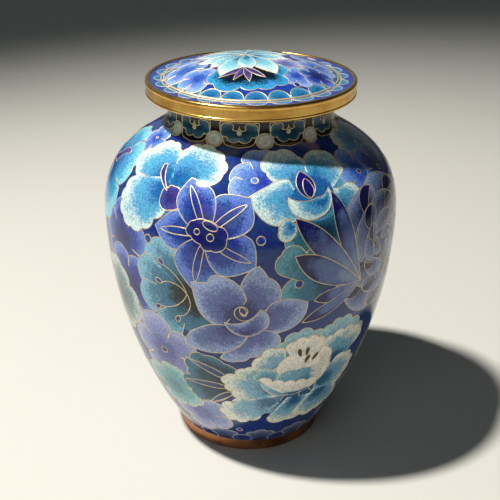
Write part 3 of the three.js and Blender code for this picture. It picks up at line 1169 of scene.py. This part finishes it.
class Nodes:
    """The node tree of a material or of the world. Noise scales are in cells to the metre."""

    def __init__(self, owner):
        owner.use_nodes = True
        self.owner = owner
        self.tree = owner.node_tree
        self.shader = self.tree.nodes.get("Principled BSDF")

    def feed(self, socket, value):
        """A number or colour is set on the socket itself, and an output is linked to it."""
        if isinstance(value, (int, float)):
            socket.default_value = value
        elif isinstance(value, tuple):
            socket.default_value = value if len(value) == len(socket.default_value) else (*value, 1.0)
        else:
            self.tree.links.new(value, socket)

    def new(self, kind, inputs, output=0, **settings):
        """A new node's output. The settings come before the inputs, because they choose the sockets."""
        node = self.tree.nodes.new("ShaderNode" + kind)
        for name, value in settings.items():
            setattr(node, name, value)
        for socket, value in inputs.items():
            self.feed(node.inputs[socket], value)
        return node.outputs[output]

    def shade(self, inputs):
        for name, value in inputs.items():
            self.feed(self.shader.inputs[name], value)

    def noise(self, scale, detail=3.0, roughness=0.55, place=None):
        if place is None:
            place = self.new("TexCoord", {}, "Object")
        inputs = {"Vector": place, "Scale": scale, "Detail": detail, "Roughness": roughness}
        return self.new("TexNoise", inputs, "Fac")

    def maths(self, operation, a, b=0.0, c=0.0):
        return self.new("Math", {0: a, 1: b, 2: c}, operation=operation)

    def stepped(self, value, low, high, out_low=0.0, out_high=1.0):
        return self.new("MapRange", {0: value, 1: low, 2: high, 3: out_low, 4: out_high},
                        interpolation_type="SMOOTHSTEP")

    def mixed(self, factor, a, b):
        return self.new("Mix", {0: factor, 6: a, 7: b}, 2, data_type="RGBA")

    def attribute(self, name, output):
        return self.new("Attribute", {}, output, attribute_name=name)

    def bumped(self, height, strength, distance):
        bump = self.new("Bump", {"Height": height, "Strength": strength, "Distance": distance})
        self.shade({"Normal": bump})


def enamel_material(name):
    """Powdered glass fused in its cells: the colours meet in a grainy blend under a polished face."""
    nodes = Nodes(bpy.data.materials.new(name))
    grain = nodes.noise(scale=1300, detail=2.0, roughness=0.75)
    clot = nodes.noise(scale=620, detail=3.0, roughness=0.7)
    cloud = nodes.noise(scale=130, detail=3.0, roughness=0.6)
    share = nodes.attribute("share", "Fac")
    wander = nodes.maths("MULTIPLY_ADD", cloud, 0.5, -0.25)
    speck = nodes.maths("MULTIPLY_ADD", grain, 0.36, -0.18)
    lump = nodes.maths("MULTIPLY_ADD", clot, 0.3, -0.15)
    share = nodes.maths("ADD", share, nodes.maths("ADD", wander, speck))
    share = nodes.maths("ADD", share, lump)
    inner = nodes.stepped(share, 0.22, 0.56)
    outer = nodes.stepped(share, 0.62, 0.94)
    heart, middle, rim = (nodes.attribute(label, "Color") for label in COLOUR_LAYERS)
    colour = nodes.mixed(outer, nodes.mixed(inner, heart, middle), rim)
    value = nodes.stepped(grain, 0.3, 0.7, 0.72, 1.18)
    value = nodes.maths("MULTIPLY", value, nodes.stepped(clot, 0.34, 0.66, 0.84, 1.08))
    hue = nodes.stepped(cloud, 0.3, 0.7, 0.485, 0.515)
    toned = nodes.new("HueSaturation", {"Value": value, "Hue": hue, "Color": colour}, "Color")
    nodes.shade({"Base Color": toned, "Roughness": nodes.stepped(cloud, 0.3, 0.7, 0.05, 0.1), "IOR": 1.48})
    nodes.bumped(nodes.noise(scale=90, detail=2.0), strength=0.12, distance=0.0006)
    return nodes.owner


def lining_material(name):
    """The plain counter-enamel inside."""
    nodes = Nodes(bpy.data.materials.new(name))
    grain = nodes.noise(scale=900, detail=2.0, roughness=0.7)
    colour = nodes.mixed(nodes.stepped(grain, 0.3, 0.7), (0.02, 0.16, 0.24), (0.03, 0.24, 0.34))
    nodes.shade({"Base Color": colour, "Roughness": nodes.stepped(grain, 0.3, 0.7, 0.18, 0.3)})
    nodes.bumped(grain, strength=0.1, distance=0.0004)
    return nodes.owner


SCRATCH_RUN = 30      # scale of the scratches along their way, the scratch scale being across


def metal_material(name, clean, worn, roughness, scratch_scale, spread):
    """Brushed metal with tarnish in clouds and fine scratches round the axis."""
    nodes = Nodes(bpy.data.materials.new(name))
    cloud = nodes.noise(scale=60, detail=5.0, roughness=0.65)
    place = nodes.new("TexCoord", {}, "Object")
    stretched = nodes.new("Mapping", {"Vector": place, "Scale": (SCRATCH_RUN, SCRATCH_RUN, scratch_scale)})
    scratches = nodes.noise(scale=1.0, detail=4.0, roughness=0.5, place=stretched)
    tarnish = nodes.stepped(nodes.maths("MULTIPLY_ADD", scratches, 0.3, cloud), 0.55, 0.85)
    rough = nodes.maths("MULTIPLY_ADD", scratches, spread, roughness - spread / 2)
    nodes.shade({"Metallic": 1.0, "Base Color": nodes.mixed(tarnish, clean, worn), "Roughness": rough})
    nodes.bumped(scratches, strength=0.15, distance=0.0003)
    return nodes.owner


def wire_material(name):
    """Gilt wire, ground flush: it scatters light rather than mirrors it."""
    nodes = Nodes(bpy.data.materials.new(name))
    cloud = nodes.noise(scale=220)
    colour = nodes.mixed(nodes.stepped(cloud, 0.35, 0.7), (0.80, 0.66, 0.38), (0.62, 0.47, 0.25))
    rough = nodes.stepped(cloud, 0.3, 0.7, 0.46, 0.6)
    nodes.shade({"Metallic": 0.72, "Base Color": colour, "Roughness": rough})
    nodes.bumped(nodes.noise(scale=1400, detail=2.0), strength=0.1, distance=0.0002)
    return nodes.owner


# Turned pieces

def turned(name, profile, material):
    """A closed (radius, height) profile in mm, anticlockwise, turned round the axis."""
    vertices, faces = [], []
    count = len(profile)
    for step in range(ROUND_STEPS):
        angle = 2 * math.pi * step / ROUND_STEPS
        vertices += [(r * math.cos(angle), r * math.sin(angle), z) for r, z in profile]
    for step in range(ROUND_STEPS):
        a, b = step * count, (step + 1) % ROUND_STEPS * count
        faces += [(a + i, b + i, b + (i + 1) % count, a + (i + 1) % count) for i in range(count)]
    piece = new_object(name, vertices, faces, [material])
    piece.data.set_sharp_from_angle(angle=TURNED_SHARP)
    return piece


def quarter(start, corner, end, steps=8):
    """Points of a rounded corner."""
    t = np.linspace(0, 1, steps)[:, None]
    start, corner, end = (np.array(p, float) for p in (start, corner, end))
    return [tuple(p) for p in (1 - t) ** 2 * start + 2 * t * (1 - t) * corner + t**2 * end]


def node_size(node):
    low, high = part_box(node)
    return high.x / MM, low.z / MM, high.z / MM


# The pieces

enamel = enamel_material("body_enamel")
lid_enamel_material = enamel_material("lid_enamel")
lining_enamel = lining_material("counter_enamel")
wire_metal = wire_material("gilt_wire")
brass = metal_material("brass", clean=(0.98, 0.60, 0.16), worn=(0.68, 0.35, 0.08), roughness=0.24,
                       scratch_scale=3200, spread=0.16)
copper = metal_material("copper", clean=(0.50, 0.22, 0.09), worn=(0.22, 0.09, 0.04), roughness=0.42,
                        scratch_scale=2600, spread=0.2)

UNDERSIDE_INSET = 0.4   # of the flat underside inside the body's lower edge

outer_wall = merged(wall_points("jar_body", lambda out, up: out > FACING), 1)
inner_wall = merged(wall_points("jar_body", lambda out, up: out < -FACING), 1)
outer_profile = smooth_curve(outer_wall, WALL_STEPS)
inner_profile = smooth_curve(inner_wall, LINING_STEPS)
foot_height = outer_wall[0, 1]
floor_top = inner_wall[0, 1]
body_chart = BodyChart(outer_profile)


def body_lining(shell):
    """From the mouth down the inner wall and over the floor, and the underside from the foot."""
    mouth = range(ROUND_STEPS)
    foot = range(ROUND_STEPS, 2 * ROUND_STEPS)
    above = shell.ring(mouth, inner_profile[-1, 0], outer_profile[-1, 1], (0, 1))
    for radius, height in inner_profile[::-1][1:]:
        above = shell.ring(above, radius, height, (-1, 0))
    shell.cap(above, floor_top, True)
    under = shell.ring(foot, outer_profile[0, 0] - UNDERSIDE_INSET, foot_height, (0, -1), flipped=True)
    shell.cap(under, foot_height, False)


def lid_lining(shell):
    """The disc's edge and its underside, which follows the face."""
    above = range(ROUND_STEPS)
    for step in range(UNDER_LID_RINGS):
        radius = lid_radius * (1 - step / UNDER_LID_RINGS)
        height = np.interp(radius, *lid_profile.T) - lid_thickness
        above = shell.ring(above, radius, height, (0, -1), flipped=True)
    shell.cap(above, np.interp(0, *lid_profile.T) - lid_thickness, False)


body_art = Art()
across = np.linspace(-0.5, 0.5, 1900, endpoint=False) * body_chart.width
below_neck = np.stack([across, np.full(len(across), NECK_LINE)], 1)
body_art.cell(below_neck, "ground", (0, 0), reach=math.inf, wired=False)
foot_border(body_art)
lay_out(body_art, BACK_LAYOUT + FRONT_LAYOUT)
neck_border(body_art)
body = enamel_piece("enamelled_body", body_art, body_chart, body_lining, "black", [enamel, lining_enamel])
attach(body, "root")
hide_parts("jar_body")

body_wires = wire_piece("body_wires", body_art, body_chart, wire_metal)
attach(body_wires, "root")

lid_top = merged(wall_points("lid_disc", lambda out, up: up > FACING), 0)
lid_bottom = merged(wall_points("lid_disc", lambda out, up: up < -FACING), 0)
lid_profile = np.vstack([smooth_curve(lid_top[:-1], DOME_STEPS), lid_top[-1:]])
lid_radius = lid_top[-1, 0]
lid_thickness = lid_top[-1, 1] - lid_bottom[-1, 1]
lid_chart = LidChart(lid_profile)

lid_art = Art()
lay_out(lid_art, LID_LAYOUT)
lid = enamel_piece("enamelled_lid", lid_art, lid_chart, lid_lining, "lid_ground",
                   [lid_enamel_material, lining_enamel])
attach(lid, "root")
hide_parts("lid_disc")

lid_wires = wire_piece("lid_wires", lid_art, lid_chart, wire_metal)
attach(lid_wires, "root")

# The brass band of the lid, with its web and collar
BAND_BEAD = 0.7        # the half-round along the band's lower edge
BAND_RECESS = 0.25     # the face lies this far inside the bead and the lip
LIP_ROUND = 1.25
LIP_WIDTH = 2.6
LEDGE_WIDTH = 2.0
WEB = 2.0
COLLAR_WALL = 2.0
COLLAR_CLEARANCE = 0.5
BAND_DROP = 1.4        # the band hangs this far below the jar's mouth

band_radius, collar_bottom, band_top = node_size("lid_band")
mouth_height = outer_profile[-1, 1]
band_bottom = mouth_height - BAND_DROP
lip_inner = band_radius - LIP_WIDTH
ledge_inner = lip_inner - LEDGE_WIDTH
collar_outer = inner_profile[-1, 0] - COLLAR_CLEARANCE
collar_inner = collar_outer - COLLAR_WALL
ledge_height = lid_bottom[-1, 1]
face_radius = band_radius - BAND_RECESS
band_profile = [
    (collar_inner, collar_bottom), (collar_outer, collar_bottom), (collar_outer, mouth_height),
    (ledge_inner, mouth_height), (ledge_inner, band_bottom),
    *quarter((band_radius - BAND_BEAD, band_bottom), (band_radius, band_bottom),
             (band_radius, band_bottom + BAND_BEAD)),
    *quarter((band_radius, band_bottom + BAND_BEAD), (band_radius, band_bottom + 2 * BAND_BEAD),
             (face_radius, band_bottom + 2.2 * BAND_BEAD))[1:],
    *quarter((face_radius, band_top - 2 * LIP_ROUND), (band_radius, band_top - 1.9 * LIP_ROUND),
             (band_radius, band_top - LIP_ROUND)),
    *quarter((band_radius, band_top - LIP_ROUND), (band_radius, band_top),
             (band_radius - LIP_ROUND, band_top))[1:],
    *quarter((lip_inner + 0.5, band_top), (lip_inner, band_top), (lip_inner, band_top - 0.5), 4),
    (lip_inner, ledge_height), (ledge_inner, ledge_height), (ledge_inner, mouth_height + WEB),
    (collar_inner, mouth_height + WEB),
]
band = turned("brass_band", band_profile, brass)
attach(band, "root")
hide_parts("lid_band")

# The copper foot ring
FOOT_WALL = 3.2
FOOT_FLARE = 0.4
FOOT_ROUND = 0.9

foot_top_radius, _, foot_top = node_size("foot_ring")
foot_inner = foot_top_radius - FOOT_WALL
foot_outer = foot_top_radius - FOOT_FLARE
foot_profile = [
    *quarter((foot_inner, FOOT_ROUND), (foot_inner, 0), (foot_inner + FOOT_ROUND, 0), 5),
    *quarter((foot_outer - FOOT_ROUND, 0), (foot_outer, 0), (foot_outer, FOOT_ROUND)),
    (foot_top_radius, foot_top), (foot_inner, foot_top),
]
foot = turned("copper_foot", foot_profile, copper)
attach(foot, "root")
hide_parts("foot_ring")

# Stage

FLOOR_HALF = 4.0
floor_mesh = bpy.data.meshes.new("floor")
floor_corners = [(x * FLOOR_HALF, y * FLOOR_HALF, 0) for x, y in ((-1, -1), (1, -1), (1, 1), (-1, 1))]
floor_mesh.from_pydata(floor_corners, [], [(0, 1, 2, 3)])
floor = linked("floor", floor_mesh)
nodes = Nodes(bpy.data.materials.new("floor"))
nodes.shade({"Base Color": (0.60, 0.59, 0.54), "Roughness": 0.7})
floor_mesh.materials.append(nodes.owner)

# Light: a small soft key from high on the left, a broad fill and a pale room
world = bpy.data.worlds.new("room")
bpy.context.scene.world = world
nodes = Nodes(world)
toward = nodes.new("TexCoord", {}, "Generated")
sideways = nodes.new("SeparateXYZ", {0: toward}, "X")
up = nodes.new("SeparateXYZ", {0: toward}, "Z")
glow = nodes.stepped(up, 0.1, 0.75, 0.29, 0.03)
glow = nodes.maths("MULTIPLY", glow, nodes.stepped(sideways, -0.2, 0.8, 1.0, 0.25))
background = nodes.tree.nodes["Background"]
nodes.feed(background.inputs["Color"], (0.78, 0.88, 0.90))
nodes.feed(background.inputs["Strength"], glow)

KEY_CONE = 52           # degrees; its edge is soft all the way in
AIM_HEIGHT = 0.14


def studio_light(name, kind, azimuth, elevation, distance, size, power, colour):
    """A light aimed at the jar's middle, from degrees round from the camera and up."""
    light = bpy.data.lights.new(name, kind)
    if kind == "SPOT":
        light.shadow_soft_size = size / 2
        light.spot_size = math.radians(KEY_CONE)
        light.spot_blend = 1.0
    else:
        light.size = size
    light.energy = power
    light.color = colour
    lamp = linked(name, light)
    a, e = math.radians(azimuth), math.radians(elevation)
    back = Vector((math.sin(a) * math.cos(e), -math.cos(a) * math.cos(e), math.sin(e)))
    lamp.location = Vector((0, 0, AIM_HEIGHT)) + back * distance
    lamp.rotation_euler = back.to_track_quat("Z", "Y").to_euler()


studio_light("key", "SPOT", azimuth=-76, elevation=64, distance=2.4, size=0.16, power=390,
             colour=(1, 0.97, 0.92))
studio_light("fill", "AREA", azimuth=-25, elevation=30, distance=2.2, size=1.2, power=4.2,
             colour=(0.92, 0.96, 1))

# Camera, fitted to the photograph's frame of 500 by 500 pixels
PHOTO_SIZE = 500
FOCAL_PIXELS = 990
SENSOR_WIDTH = 36
CAMERA_BACK = 0.5777
CAMERA_HEIGHT = 0.3949
CAMERA_PITCH = 0.4405   # radians below the horizontal
CAMERA_ROLL = 0.0053
AXIS_PIXEL = 250.25     # where the jar's axis lies across the photograph

camera_data = bpy.data.cameras.new("camera")
camera = linked("camera", camera_data)
camera_data.sensor_width = SENSOR_WIDTH
camera_data.lens = SENSOR_WIDTH * FOCAL_PIXELS / PHOTO_SIZE
camera_data.shift_x = (PHOTO_SIZE / 2 - AXIS_PIXEL) / PHOTO_SIZE
camera.location = (0, -CAMERA_BACK, CAMERA_HEIGHT)
camera.rotation_euler = (Matrix.Rotation(math.pi / 2 - CAMERA_PITCH, 3, "X")
                         @ Matrix.Rotation(CAMERA_ROLL, 3, "Z")).to_euler()
bpy.context.scene.camera = camera
bpy.context.scene.view_settings.view_transform = "Standard"
